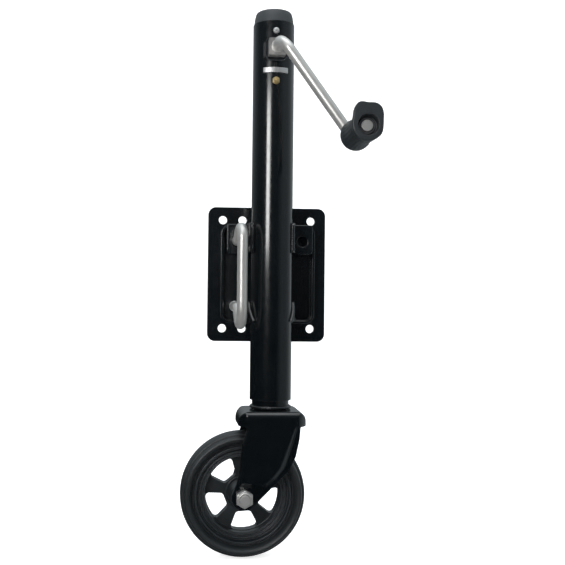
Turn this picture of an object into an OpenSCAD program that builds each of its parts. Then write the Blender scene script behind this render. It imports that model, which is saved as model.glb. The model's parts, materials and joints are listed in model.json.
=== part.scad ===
// Bolt-on swing-up trailer tongue jack with a side-wind crank and a swivelling caster wheel.
// Millimetres, +Z up. The origin is the centre of the frame bolt pattern on the back face of the
// mounting plate. +Y runs from the jack into the trailer frame, +X is to the right seen from the crank.

/* [Stance] */
// Height of the bolt pattern's centre above the ground with the leg wound in
plate_height = 345.5; // [345:0.5:350]
// Distance from the plate's front face to the tube axis
tube_gap = 52; // [52:0.5:56]

/* [Tubes] */
// Outside diameter of the outer tube
tube_d = 50.8; // [50.6:0.1:51]
// Wall of the outer tube
tube_wall = 2.3; // [2.2:0.05:2.4]
// Height of the outer tube's lower end above the ground
tube_foot = 191; // [190:0.5:194]
// Length of the outer tube
tube_length = 461; // [458:0.5:462]
// Outside diameter of the inner tube
leg_d = 45.2; // [44.8:0.1:45.4]
// Wall of the inner tube
leg_wall = 2.6; // [2.4:0.1:2.8]
// Travel of the inner tube
leg_travel = 254; // [220:2:254]

/* [Mounting plate] */
// Width of the plate
plate_w = 152.4; // [150:0.2:160]
// Height of the plate
plate_h = 173; // [170:0.5:180]
// Thickness of the plate
plate_t = 4.75; // [4.5:0.25:6]
// Corner radius of the plate
plate_r = 10; // [6:0.5:12]
// Width of the bolt pattern, hole to hole
bolt_dx = 114.3; // [112:0.1:116]
// Height of the bolt pattern, hole to hole
bolt_dz = 139.7; // [138:0.1:142]
// Step from the left bolt column to the extra column
column_step = 25.4; // [25:0.1:26]
// Diameter of the bolt holes
bolt_hole_d = 10.7; // [10:0.1:11]
// Distance of each lock hole from the pivot, along X and along Z
lock_half = 41.2; // [40.5:0.1:41.5]

/* [Swivel bracket] */
// Width of the tray
tray_w = 121; // [118:0.5:124]
// Height of the tray
tray_h = 126; // [124:0.5:128]
// Sheet thickness of the tray and the guide
sheet_t = 4; // [3.5:0.25:4]
// Depth of the tray walls in front of its floor
tray_wall = 8; // [6:0.5:10]

/* [Crank] */
// Height of the crank shaft above the ground
crank_height = 616; // [615:0.5:617]
// Distance from the crank shaft to the grip's axis
crank_radius = 142.2; // [120:0.2:150]
// Angle of the arm below the horizontal at rest
crank_angle = 54.75; // [0:0.25:90]
// Diameter of the crank rod
crank_rod_d = 12.7; // [12:0.1:13]
// Tilt of the arm away from the tube
arm_slope = 3; // [0:0.5:9]
// Length of the grip
grip_length = 66; // [62:0.5:80]
// Diameter of the grip
grip_d = 35.5; // [34:0.5:37]

/* [Gears] */
// Teeth of the gear on the lead screw
gear_teeth = 18; // [18]
// Teeth of the pinion on the crank shaft
pinion_teeth = 12; // [12]
// Module at the outer end of the teeth
gear_module = 2; // [1.9:0.05:2]
// Diameter of the lead screw
screw_d = 20; // [18:0.5:22]

/* [Caster] */
// Diameter of the wheel
wheel_d = 152.4; // [150:0.2:153]
// Offset of the axle from the swivel axis
trail = 33.5; // [30:0.5:34]
// Width of the tyre
tyre_w = 42; // [41:0.5:43]
// Height of the fork's crown above the ground
crown_height = 179.5; // [179:0.5:180]
// Sheet thickness of the fork
fork_t = 3.5; // [3:0.25:4]
// Distance from the middle of the fork to the outside of a leg
fork_half = 35; // [35:0.5:36]
// Number of openings in the wheel
wheel_openings = 5; // [5]
// Turn of the wheel at rest
wheel_rest = 4; // [0:1:36]

/* [Pull pin] */
// Diameter of the pull handle's rod
pin_d = 12.7; // [12:0.1:13]
// Coils of the pin's spring
spring_coils = 6; // [4:1:7]

/* [Hidden] */
$fn = 64;
// Radial clearance of a running fit
fit = 0.05;
// Overlap that keeps cuts clean
e = 0.1;
// A bend is this much thinner than the straight rod that it joins, so that it ends inside the rod's face
join = 0.05;

ground_z = -plate_height;
tube_y = -plate_t - tube_gap;
tube_r = tube_d / 2;
tube_ri = tube_r - tube_wall;
leg_r = leg_d / 2;
leg_ri = leg_r - leg_wall;
tube_top = tube_foot + tube_length;

// Heights above the ground of the drive's parts
support_z = 588.4;
support_t = 6;
bearing_t = 6;
collar_t = 6;
screw_foot = 245;
screw_top = 608;
journal_d = 14;
shaft_d = 11;
// Outside of the shaft's bushes, and the flange of the rear one
bush_od = 15;
flange_d = 21;
flange_t = 2;
zerk_z = 578;
cap_screw_z = 639.2;
// Depth of the small flats on the tube's front
seat_cut = 0.3;
gear_seat_z = support_z + support_t + 0.2;

// The inner tube and the pieces at its lower end
leg_foot = crown_height + 1.5;
leg_top = 562;
plug_t = 12;
nut_length = 26;
kingpin_d = 16;
kingpin_head_t = 7;
kingpin_nut_t = 12;
kingpin_af = 24;
kingpin_washer_t = 2.5;
key_z = 216;
key_d = 6;

// The tray: its floor stands off the plate by the pivot washer
washer_gap = 2;
floor_back = -plate_t - washer_gap;
floor_front = floor_back - sheet_t;
pivot_d = 16;
// The pivot pin's countersunk head, and the nut and lock washer in front of the floor
head_depth = 3.5;
lock_washer_t = 2.5;
pivot_nut_t = 12;
pivot_af = 24;
pivot_nut_front = floor_front - lock_washer_t - pivot_nut_t;
// Front plane of the ears that guide the pull pin
ear_front = tube_y + 18;
ear_w = 21.3;
ear_h = 37;
ear_x = 43.5;
ear_top = 62;
saddle_h = 24;
saddle_slope = 55;

// Sheet of the spring clips, depth of their grooves, and the place of the clip on the shaft
clip_t = 1.2;
groove = 0.8;
shaft_clip_y = tube_y + tube_r + 3;

// The crank block and the boss that carries the shaft
block_w = 20.5;
block_front = tube_y - 40;
block_back = tube_y - 29;
boss_w = 27;

// The wheel
axle_z = wheel_d / 2;
axle_d = 12.7;
axle_af = 19.05;
axle_nut_t = 8.6;
rim_r = 60;
lip_half = 14.6;
web_back = 13;
hub_half = 24.5;
hub_r = 16;
sleeve_r = 8;
bush_r = 10;
boss_level = fork_half - 5;

// Radial play of the pull pin in its holes
pin_play = 0.3;
// Back of the room that the spring's end clip needs in front of the tray's floor
clip_y = floor_front - 6;

// ---------- shared shapes ----------

// A cylinder along +Y from y0 to y1
module rod_y(d, y0, y1, x = 0, z = 0) {
    translate([x, y0, z])
        rotate([-90, 0, 0])
            cylinder(d = d, h = y1 - y0);
}

// A hexagonal bar along +Y, af across its flats
module hex_y(af, y0, y1, x = 0, z = 0) {
    translate([x, y0, z])
        rotate([-90, 0, 0])
            cylinder(d = af / cos(30), h = y1 - y0, $fn = 6);
}

// A flat outline in X and Z, as a slab from y0 to y1
module slab(y0, y1) {
    translate([0, y1, 0])
        rotate([90, 0, 0])
            linear_extrude(y1 - y0)
                children();
}

// Puts its children on the tube's axis, at a height above the ground
module on_tube(height) {
    translate([0, tube_y, ground_z + height])
        children();
}

// A ring on the Z axis
module ring(ro, ri, h) {
    difference() {
        cylinder(r = ro, h = h);
        translate([0, 0, -e])
            cylinder(r = ri, h = h + 2 * e);
    }
}

// A ring along +Y from y0 to y1
module ring_y(ro, ri, y0, y1, x = 0, z = 0) {
    difference() {
        rod_y(2 * ro, y0, y1, x, z);
        rod_y(2 * ri, y0 - e, y1 + e, x, z);
    }
}

// Points of an arc in degrees, n steps from a0 to a1
function arc(cx, cy, r, a0, a1, n) =
    [for (i = [0 : n]) let (a = a0 + (a1 - a0) * i / n) [cx + r * cos(a), cy + r * sin(a)]];

// A rectangle about the origin with rounded corners
module round_rect(w, h, r) {
    polygon(concat(
        arc(w / 2 - r, h / 2 - r, r, 0, 90, 8),
        arc(r - w / 2, h / 2 - r, r, 90, 180, 8),
        arc(r - w / 2, r - h / 2, r, 180, 270, 8),
        arc(w / 2 - r, r - h / 2, r, 270, 360, 8)
    ));
}

// A tube swept along points: rings of n corners, each square to the path
function unit(v) = v / norm(v);
function heading(p, i) = unit(p[min(i + 1, len(p) - 1)] - p[max(i - 1, 0)]);
function sweep_rings(p, r, n, up) = [
    for (i = [0 : len(p) - 1])
        let (t = heading(p, i), u = unit(cross(t, up)), v = cross(u, t))
        for (k = [0 : n - 1]) p[i] + r * (cos(360 * k / n) * u + sin(360 * k / n) * v)
];

module sweep(p, r, n, up) {
    last = len(p) - 1;
    sides = [
        for (i = [0 : last - 1])
            for (k = [0 : n - 1])
                let (a = i * n + k, b = i * n + (k + 1) % n)
                each [[a, b, b + n], [a, b + n, a + n]]
    ];
    polyhedron(
        points = sweep_rings(p, r, n, up),
        faces = concat(
            [[for (k = [n - 1 : -1 : 0]) k]],
            [[for (k = [0 : n - 1]) last * n + k]],
            sides
        )
    );
}

// ---------- mounting plate and pivot ----------

module mounting_plate() {
    color("#17181a")
    difference() {
        slab(-plate_t, 0)
            round_rect(plate_w, plate_h, plate_r);
        for (x = [-bolt_dx / 2, column_step - bolt_dx / 2, bolt_dx / 2])
            for (z = [-bolt_dz / 2, bolt_dz / 2])
                rod_y(bolt_hole_d, -plate_t - e, e, x, z);
        for (x = [-lock_half, lock_half])
            for (z = [-lock_half, lock_half])
                rod_y(pin_d + 2 * pin_play, -plate_t - e, e, x, z);
        rod_y(pivot_d, -plate_t - e, e);
        // countersink for the pin's rear head
        translate([0, e, 0])
            rotate([90, 0, 0])
                cylinder(r1 = pivot_d / 2 + head_depth + e, r2 = pivot_d / 2, h = head_depth + e);
    }
}

// Shouldered pin with a head sunk flush in the plate's back face
module pivot_pin() {
    color("silver") {
        rod_y(pivot_d, pivot_nut_front - 1.5, -e);
        rotate([90, 0, 0])
            cylinder(r1 = pivot_d / 2 + head_depth, r2 = pivot_d / 2, h = head_depth);
    }
}

module pivot_washer() {
    color("#b08d57")
        ring_y(22, pivot_d / 2 + fit, floor_back, -plate_t);
}

module pivot_lock_washer() {
    color("silver")
        ring_y(15, pivot_d / 2 + fit, floor_front - lock_washer_t, floor_front);
}

module pivot_nut() {
    color("silver")
    difference() {
        hex_y(pivot_af, pivot_nut_front, floor_front - lock_washer_t);
        rod_y(pivot_d, pivot_nut_front - 0.5, floor_front);
    }
}

// ---------- swivel bracket ----------

// Pressed tray: a floor and a rim that stands up toward the tube
module swivel_bracket() {
    color("#17181a")
    difference() {
        slab(floor_front - tray_wall, floor_back)
            round_rect(tray_w, tray_h, 12);
        slab(floor_front - tray_wall - e, floor_front)
            round_rect(tray_w - 2 * sheet_t, tray_h - 2 * sheet_t, 12 - sheet_t);
        rod_y(pivot_d + 2 * fit, floor_front - e, floor_back + e);
        for (z = [-lock_half, lock_half])
            rod_y(pin_d + 2 * pin_play, floor_front - e, floor_back + e, -lock_half, z);
    }
}

// A band of the tube's saddle between two heights, open to the front. tube_notch cuts its inside.
module saddle_band(z0, z1, opening) {
    on_tube(z0 + plate_height)
        rotate([0, 0, opening / 2 - 90])
            rotate_extrude(angle = 360 - opening)
                translate([tube_r - 1, 0])
                    square([sheet_t + 0.8, z1 - z0]);
}

// Space kept for the tube through a wall
module tube_notch(z0, z1) {
    on_tube(z0 + plate_height)
        cylinder(r = tube_r + fit, h = z1 - z0);
}

// Outline of the guide's front sheet: two ears and a slightly shorter strip between them
function guide_outline() =
    let (outer = ear_x + ear_w / 2, inner = ear_x - ear_w / 2, foot = ear_top - ear_h, r = 4.5)
    concat(
        arc(r - outer, foot + r, r, 180, 270, 6), arc(-inner - r, foot + r, r, 270, 330, 4),
        [[-inner + 1, foot + 2], [inner - 1, foot + 2]],
        arc(inner + r, foot + r, r, 210, 270, 4), arc(outer - r, foot + r, r, 270, 360, 6),
        arc(outer - r, ear_top - r, r, 0, 90, 6), arc(r - outer, ear_top - r, r, 90, 180, 6)
    );

// Upper guide: a shelf behind the tube, a saddle round it and two ears bent down
module pin_guide() {
    color("#17181a")
    difference() {
        union() {
            translate([-ear_x - ear_w / 2, ear_front, ear_top - sheet_t])
                cube([2 * ear_x + ear_w, floor_front - tray_wall - ear_front, sheet_t]);
            slab(ear_front, ear_front + sheet_t)
                polygon(guide_outline());
            saddle_band(ear_top - ear_h, ear_top, 130);
        }
        tube_notch(ear_top - ear_h - e, ear_top + e);
        for (side = [-1, 1])
            rod_y(pin_d + 2 * pin_play, ear_front - e, ear_front + sheet_t + e, side * lock_half, lock_half);
    }
}

// Lower gusset: a shelf at the foot of the tray and a saddle whose top edge slopes down to the front
module lower_saddle() {
    foot = -tray_h / 2 + sheet_t;
    color("#17181a")
    difference() {
        union() {
            translate([-31, tube_y, foot])
                cube([62, floor_front - tube_y, sheet_t]);
            saddle_band(foot, foot + saddle_h, 110);
        }
        tube_notch(foot - e, foot + saddle_h + e);
        on_tube(foot + plate_height + saddle_h - 1)
            rotate([saddle_slope, 0, 0])
                translate([-40, -60, 0])
                    cube([80, 120, 60]);
    }
}

// ---------- outer tube ----------

module outer_tube() {
    color("#101113")
    difference() {
        on_tube(tube_foot)
            cylinder(r = tube_r, h = tube_length);
        on_tube(tube_foot - e)
            cylinder(r = tube_ri, h = tube_length + 2 * e);
        // slots for the support plate, front and rear
        on_tube(support_z)
            translate([-15.1, -tube_d, 0])
                cube([30.2, 2 * tube_d, support_t]);
        rod_y(bush_od, tube_y - tube_d, tube_y + tube_d, 0, ground_z + crank_height);
        rod_y(6, tube_y - tube_d, tube_y, 0, ground_z + zerk_z);
        rod_y(4, tube_y - tube_d, tube_y, 0, ground_z + cap_screw_z);
        // flats that the grease fitting and the cap's screw seat on
        rod_y(10.4, tube_y - tube_d, tube_y - tube_r + seat_cut, 0, ground_z + zerk_z);
        rod_y(9, tube_y - tube_d, tube_y - tube_r + seat_cut, 0, ground_z + cap_screw_z);
        rod_y(key_d, tube_y, tube_y + tube_d, 0, ground_z + key_z);
    }
}

// Key that keeps the inner tube from turning
module guide_key() {
    color("silver") {
        rod_y(key_d, tube_y + leg_r - 1.8, tube_y + tube_r + 0.5, 0, ground_z + key_z);
        rod_y(10, tube_y + tube_r + 0.3, tube_y + tube_r + 3, 0, ground_z + key_z);
    }
}

// Plastic cap with a plug inside the tube
module top_cap() {
    color("#2a2b2d")
    difference() {
        on_tube(tube_top)
            rotate_extrude()
                polygon(concat(
                    [[0, 0], [24.5, 0], [24.5, 1.4], [24.1, 5], [23.1, 11]],
                    arc(19.9, 14.7, 2.4, 12, 90, 6),
                    [[0, 17.1]]
                ));
        on_tube(tube_top - 1)
            cylinder(r = tube_ri - 3, h = 9);
    }
    color("#2a2b2d")
    difference() {
        on_tube(tube_top - 18)
            ring(tube_ri - 0.1, tube_ri - 3, 18);
        rod_y(3.2, tube_y - tube_r, tube_y, 0, ground_z + cap_screw_z);
    }
}

module cap_screw() {
    color("silver")
    difference() {
        union() {
            rod_y(3.2, tube_y - tube_r + seat_cut - e, tube_y - tube_ri + 4, 0, ground_z + cap_screw_z);
            translate([0, tube_y - tube_r + seat_cut, ground_z + cap_screw_z])
                rotate([90, 0, 0])
                    rotate_extrude()
                        polygon(concat([[0, 0], [3.9, 0], [3.9, 1]], arc(2.3, 1.1, 1.6, 10, 90, 5), [[0, 2.7]]));
        }
        rod_y(2.4, tube_y - tube_r - 3, tube_y - tube_r - 1, 0, ground_z + cap_screw_z);
    }
}

// Boss welded on the tube's front, with the bush for the crank shaft
module shaft_boss() {
    color("#17181a")
    difference() {
        translate([0, 0, ground_z + crank_height])
            slab(block_back + 0.5, tube_y - tube_r + 3)
                round_rect(boss_w, boss_w + 1, 8);
        on_tube(crank_height - boss_w)
            cylinder(r = tube_r + fit, h = 2 * boss_w);
        rod_y(bush_od, tube_y - tube_d, tube_y, 0, ground_z + crank_height);
    }
}

module front_bush() {
    color("#b08d57")
        ring_y(
            bush_od / 2, shaft_d / 2 + fit, block_back + 0.5, tube_y - tube_ri + 0.6,
            0, ground_z + crank_height
        );
}

module rear_bush() {
    flange_back = tube_y + tube_r + 0.2 + flange_t;
    color("#b08d57")
    difference() {
        union() {
            rod_y(bush_od, tube_y + tube_ri - 1, flange_back - flange_t + 0.3, 0, ground_z + crank_height);
            rod_y(flange_d, flange_back - flange_t, flange_back, 0, ground_z + crank_height);
        }
        rod_y(shaft_d + 2 * fit, tube_y, tube_y + tube_d, 0, ground_z + crank_height);
    }
}

// Plate that carries the screw, passed through slots in the tube
module support_plate() {
    color("silver")
    on_tube(support_z)
        difference() {
            intersection() {
                cylinder(r = tube_r + 2, h = support_t);
                translate([-15, -tube_d, -e])
                    cube([30, 2 * tube_d, support_t + 2 * e]);
            }
            translate([0, 0, -e])
                cylinder(d = journal_d + 2 * fit, h = support_t + 2 * e);
        }
}

// Two races with balls between them, under the support plate
module thrust_bearing() {
    race_t = 1.6;
    balls = 10;
    color("silver")
    on_tube(support_z - bearing_t + 0.1) {
        ring(17, journal_d / 2 + 0.3, race_t);
        translate([0, 0, bearing_t - 0.2 - race_t])
            ring(17, journal_d / 2 + 0.3, race_t);
        for (i = [0 : balls - 1])
            rotate([0, 0, 360 * i / balls])
                translate([12, 0, bearing_t / 2 - 0.1])
                    sphere(d = 2.4, $fn = 24);
    }
}

module grease_fitting() {
    color("#b8963c")
    difference() {
        union() {
            rod_y(6, tube_y - tube_r, tube_y - tube_ri, 0, ground_z + zerk_z);
            hex_y(8.2, tube_y - tube_r - 3.6, tube_y - tube_r + seat_cut, 0, ground_z + zerk_z);
            rod_y(5.4, tube_y - tube_r - 6, tube_y - tube_r - 3, 0, ground_z + zerk_z);
            translate([0, tube_y - tube_r - 6.6, ground_z + zerk_z])
                sphere(d = 6.4, $fn = 32);
        }
        rod_y(1.6, tube_y - tube_r - 12, tube_y - tube_r - 5, 0, ground_z + zerk_z);
    }
}

// ---------- bevel gears ----------

// Pressure angle of the teeth, and how much thinner a tooth is than half its pitch
pressure = 25;
backlash = 0.3;
addendum = 0.75 * gear_module;
dedendum = 1.0 * gear_module;
gear_pr = gear_module * gear_teeth / 2;
pinion_pr = gear_module * pinion_teeth / 2;
face_scale = 0.68;

function involute(a) = tan(a) * 180 / PI - a;
// Half the angle of a tooth at radius r of the equal spur gear with pitch radius pr
function half_tooth(r, pr) =
    90 * (PI * gear_module / 2 - backlash) / (PI * pr)
        + involute(pressure) - involute(acos(min(1, pr * cos(pressure) / r)));

// A straight bevel gear about +Z with its apex at the origin and its teeth below it.
// pr is its pitch radius, cone its pitch cone's half angle.
function back_cone(pr, cone, a) = [pr + a * cos(cone), pr / tan(cone) - a * sin(cone)];
function tooth_ring(teeth, pr, cone, depth, k) = [
    for (i = [0 : teeth - 1])
        for (j = [0 : 7])
            let (
                spur = pr / cos(cone),
                a = [-dedendum, -0.5 * dedendum, 0.3 * addendum, addendum][j < 4 ? j : 7 - j],
                s = (j < 4 ? -1 : 1) * half_tooth(spur + a, spur) / cos(cone),
                q = back_cone(pr, cone, min(a, depth)),
                t = 360 * i / teeth + s
            )
            k * [q[0] * cos(t), q[0] * sin(t), -q[1]]
];

module bevel_teeth(teeth, pr, cone) {
    n = 8 * teeth;
    floor_a = -dedendum - 0.4;
    points = concat(
        tooth_ring(teeth, pr, cone, floor_a, 1),
        tooth_ring(teeth, pr, cone, addendum, 1),
        tooth_ring(teeth, pr, cone, addendum, face_scale),
        tooth_ring(teeth, pr, cone, floor_a, face_scale),
        [[0, 0, -back_cone(pr, cone, floor_a)[1]], [0, 0, -face_scale * back_cone(pr, cone, floor_a)[1]]]
    );
    strips = [
        for (s = [0 : 2])
            for (i = [0 : n - 1])
                let (a = s * n + i, b = s * n + (i + 1) % n)
                [a, a + n, b + n, b]
    ];
    polyhedron(
        points = points,
        faces = concat(
            strips,
            [for (i = [0 : n - 1]) [i, (i + 1) % n, 4 * n]],
            [for (i = [0 : n - 1]) [3 * n + (i + 1) % n, 3 * n + i, 4 * n + 1]]
        )
    );
}

gear_cone = atan(gear_teeth / pinion_teeth);
gear_root = back_cone(gear_pr, gear_cone, -dedendum - 0.4);
pinion_root = back_cone(pinion_pr, 90 - gear_cone, -dedendum - 0.4);
// The pinion's pinned hub lies on the inner side of its teeth
pinion_hub_r = face_scale * pinion_root[0] - 0.3;
pinion_pin_y = tube_y - 10;
pinion_pin_d = 2.5;

// Gear on the lead screw
module bevel_gear() {
    color("silver")
    difference() {
        union() {
            on_tube(crank_height)
                bevel_teeth(gear_teeth, gear_pr, gear_cone);
            on_tube(gear_seat_z)
                cylinder(r = gear_root[0] - 0.3, h = crank_height - gear_root[1] - gear_seat_z + 0.4);
            on_tube(gear_seat_z)
                cylinder(r = 11, h = screw_top - gear_seat_z);
        }
        on_tube(gear_seat_z - 1)
            cylinder(d = journal_d, h = 30);
        on_tube(gear_seat_z + 3.6)
            rotate([0, 90, 0])
                cylinder(d = 4, h = 60, center = true);
    }
}

module gear_pin() {
    color("silver")
    on_tube(gear_seat_z + 3.6)
        rotate([0, 90, 0])
            cylinder(d = 4, h = 2 * gear_root[0] - 3, center = true);
}

// Pinion on the crank shaft. A tooth points down, into the gap at the front of the gear.
module drive_pinion() {
    color("silver")
    difference() {
        union() {
            translate([0, tube_y, ground_z + crank_height])
                rotate([-90, 0, 0])
                    rotate([0, 0, 90])
                        bevel_teeth(pinion_teeth, pinion_pr, 90 - gear_cone);
            rod_y(
                2 * pinion_root[0] - 0.6, tube_y - pinion_root[1] - 0.9, tube_y - pinion_root[1] + 0.4,
                0, ground_z + crank_height
            );
            rod_y(
                2 * pinion_hub_r, pinion_pin_y - 3.5, pinion_pin_y + 2.5,
                0, ground_z + crank_height
            );
        }
        rod_y(shaft_d, tube_y - 30, tube_y, 0, ground_z + crank_height);
        pinion_pin_hole();
    }
}

module pinion_pin_hole() {
    translate([0, pinion_pin_y, ground_z + crank_height])
        cylinder(d = pinion_pin_d, h = 40, center = true);
}

module pinion_pin() {
    color("silver")
    translate([0, pinion_pin_y, ground_z + crank_height])
        cylinder(d = pinion_pin_d, h = 2 * pinion_hub_r - 0.6, center = true);
}

// ---------- crank ----------

module crank_shaft() {
    color("silver")
    difference() {
        rod_y(shaft_d, block_front + 3, tube_y + tube_r + 6, 0, ground_z + crank_height);
        pinion_pin_hole();
        ring_y(
            8, shaft_d / 2 - groove, shaft_clip_y, shaft_clip_y + clip_t,
            0, ground_z + crank_height
        );
        translate([0, (block_front + block_back) / 2, ground_z + crank_height])
            cylinder(d = 4, h = 40, center = true);
    }
}

module shaft_clip() {
    color("#55565a")
    difference() {
        ring_y(
            9, shaft_d / 2 - groove, shaft_clip_y, shaft_clip_y + clip_t,
            0, ground_z + crank_height
        );
        translate([-3, tube_y + tube_r, ground_z + crank_height - 20])
            cube([6, 10, 20]);
    }
}

module crank_block() {
    color("silver")
    difference() {
        translate([0, 0, ground_z + crank_height])
            slab(block_front, block_back)
                round_rect(block_w, block_w, 1.5);
        rod_y(shaft_d, block_front + 3, block_back + e, 0, ground_z + crank_height);
        translate([0, (block_front + block_back) / 2, ground_z + crank_height])
            cylinder(d = 4, h = 40, center = true);
    }
}

module block_pin() {
    color("#8a8c90")
    translate([0, (block_front + block_back) / 2, ground_z + crank_height])
        cylinder(d = 4, h = block_w - 1, center = true);
}

// The crank rod lies in one plane: out of the block, along the arm, then out again for the grip.
// Radii of its two bends, and where the first one starts in front of the tube's axis
bend_out = 20;
bend_in = 14;
bend_start = tube_y - 56.4;
turn = 90 - arm_slope;
arm_start = [bend_out * (1 - sin(arm_slope)), bend_start - bend_out * cos(arm_slope)];
arm_end_x = crank_radius - bend_in * (1 - sin(arm_slope));
arm_length = (arm_end_x - arm_start[0]) / cos(arm_slope);
arm_end_y = arm_start[1] - arm_length * sin(arm_slope);
grip_far = arm_end_y - bend_in * cos(arm_slope) - 1;
grip_near = grip_far - grip_length;
rod_tip = grip_near + 7;
washer_y = rod_tip + 2.6;

module in_crank_plane() {
    translate([0, 0, ground_z + crank_height])
        rotate([0, crank_angle, 0])
            children();
}

// The rod's middle line in that plane, from the block's side to the grip's side
function crank_route() = [
    for (p = concat(
        [[0, bend_start + 1]],
        arc(bend_out, bend_start, bend_out, 180, 180 + turn, 10),
        arc(crank_radius - bend_in, grip_far + 1, bend_in, turn, 0, 10),
        [[crank_radius, grip_far]]
    )) [p[0], p[1], 0]
];

module crank_arm() {
    color("#c9cacc")
    in_crank_plane() {
        rod_y(crank_rod_d, bend_start, block_front);
        sweep(crank_route(), crank_rod_d / 2 - join, 24, [0, 0, 1]);
        difference() {
            rod_y(crank_rod_d, rod_tip, grip_far + 1, crank_radius);
            ring_y(8, crank_rod_d / 2 - groove, washer_y, washer_y + clip_t, crank_radius);
        }
    }
}

// The grip's axis, out of the crank plane's own turn
module on_grip_axis() {
    translate([crank_radius * cos(crank_angle), 0, ground_z + crank_height - crank_radius * sin(crank_angle)])
        children();
}

// Grip: a waisted barrel with a flared end that stops the hand
module crank_grip() {
    rr = grip_d / 2;
    color("#2b2c2e")
    on_grip_axis()
        difference() {
            union() {
                translate([0, grip_far, 0])
                    rotate([90, 0, 0])
                        rotate_extrude()
                            polygon([
                                [0, 0], [rr - 1.5, 0], [rr, 1.5], [rr, 6], [rr - 1.6, 16], [rr - 2.2, 34],
                                [rr - 1.4, 46], [rr - 0.4, grip_length - 10], [rr - 0.4, grip_length - 1.5],
                                [rr - 1.9, grip_length], [0, grip_length]
                            ]);
                hull() {
                    slab(grip_near + 1.2, grip_near + 8)
                        grip_outline(0);
                    slab(grip_near, grip_near + 10)
                        grip_outline(-1.2);
                }
            }
            rod_y(crank_rod_d + 0.2, grip_near - e, grip_far + e);
            rod_y(22.4, grip_near - e, grip_near + 11.2);
        }
}

// Outline of the flared end: round below, with a flat thumb rest above
module grip_outline(grow) {
    $fn = 32;
    hull() {
        circle(r = grip_d / 2 + grow);
        translate([9.2, 16.1])
            circle(r = 7 + grow);
        translate([-9.7, 20.3])
            circle(r = 4 + grow);
    }
}

// Spring washer that keeps the grip on the rod
module grip_washer() {
    color("#77797d")
    on_grip_axis()
        ring_y(8.8, crank_rod_d / 2 - groove, washer_y, washer_y + clip_t);
}

// ---------- lead screw ----------

module lead_screw() {
    color("#8f9194")
    difference() {
        union() {
            on_tube(screw_foot)
                cylinder(d = screw_d, h = support_z - bearing_t - screw_foot);
            on_tube(screw_foot - 2)
                cylinder(d1 = screw_d - 4, d2 = screw_d, h = 2);
            on_tube(support_z - bearing_t - collar_t)
                cylinder(r = 15, h = collar_t);
            on_tube(support_z - bearing_t - 1)
                cylinder(d = journal_d, h = screw_top - support_z + bearing_t + 1);
        }
        on_tube(gear_seat_z + 3.6)
            rotate([0, 90, 0])
                cylinder(d = 4, h = 60, center = true);
    }
}

// ---------- leg ----------

module inner_tube() {
    color("#141517")
    difference() {
        on_tube(leg_foot)
            ring(leg_r, leg_ri, leg_top - leg_foot);
        // keyway along the back, open for the whole travel
        on_tube(key_z - 6)
            translate([-key_d / 2 - 0.3, 10, 0])
                cube([key_d + 0.6, 30, leg_travel + 12]);
    }
}

module screw_nut() {
    color("#b08d57")
    on_tube(leg_top - nut_length)
        ring(leg_ri, screw_d / 2 + 0.1, nut_length);
}

module foot_plug() {
    color("#8f9194")
    on_tube(leg_foot)
        ring(leg_ri, kingpin_d / 2, plug_t);
}

module kingpin() {
    color("#8f9194") {
        on_tube(leg_foot + plug_t)
            cylinder(r = 14, h = kingpin_head_t);
        on_tube(crown_height - 20.5)
            cylinder(d = kingpin_d, h = leg_foot + plug_t - crown_height + 21);
    }
}

module kingpin_washer() {
    color("silver")
    on_tube(crown_height - fork_t - kingpin_washer_t - 0.1)
        ring(15, kingpin_d / 2 + fit, kingpin_washer_t);
}

module kingpin_nut() {
    color("silver")
    on_tube(crown_height - fork_t - kingpin_washer_t - kingpin_nut_t - 0.2)
        difference() {
            cylinder(d = kingpin_af / cos(30), h = kingpin_nut_t, $fn = 6);
            translate([0, 0, -e])
                cylinder(d = kingpin_d, h = kingpin_nut_t + 1);
        }
}

module swivel_washer() {
    color("#b08d57")
    on_tube(crown_height + 0.1)
        ring(20, kingpin_d / 2 + fit, leg_foot - crown_height - 0.1);
}

// ---------- caster fork ----------

// Outline of a leg, from the crown down to the boss round the axle
function leg_outline() = concat(
    [[33.5, 156], [32.6, 146], [28.4, 126], [21.6, 110]],
    arc(-trail, axle_z, 15, -42, -190, 12),
    [[-42.6, 94], [-40, 104], [-37.4, 137], [-32, 158], [-31, 170]],
    arc(-25, crown_height - 8, 6, 180, 90, 4),
    arc(27.5, crown_height - 8, 6, 90, 0, 4)
);

// Outline of the leg's raised panel, and of its foot at the axle's level
function panel_outline(grow) = [
    [-31.5 - grow / 4, crown_height - 9], [-31.5 - grow / 4, 160], [-36.5 - grow / 4, 138],
    [-38.8 - grow / 4, 104], [-38.2 - grow / 4, 94.5 - grow], [-10 + grow / 2, 94.5 - grow],
    [-1 + grow, 101 - grow / 2], [9 + grow, 114 - grow / 2], [15.6 + grow, 131],
    [18 + grow, 146], [19.5 + 2 * grow, 156 + grow], [30, crown_height - 9]
];

// A leg plate: its foot is flat at the axle, and its panel is raised outward above that
module fork_leg() {
    on_tube(0)
    difference() {
        union() {
            slab(-boss_level, fork_t - boss_level)
                polygon(leg_outline());
            intersection() {
                hull() {
                    slab(-fork_half, 0.2 - fork_half)
                        polygon(panel_outline(0));
                    slab(-boss_level, 0.2 - boss_level)
                        polygon(panel_outline(5));
                }
                slab(-fork_half - 1, 1 - boss_level)
                    polygon(leg_outline());
            }
        }
        hull() {
            slab(fork_t - fork_half, fork_t + 0.2 - fork_half)
                polygon(panel_outline(-2));
            slab(fork_t - boss_level, fork_t + 1 - boss_level)
                polygon(panel_outline(3));
        }
        rod_y(axle_d + 0.2, -fork_half - 1, -10, -trail, axle_z);
    }
}

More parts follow.
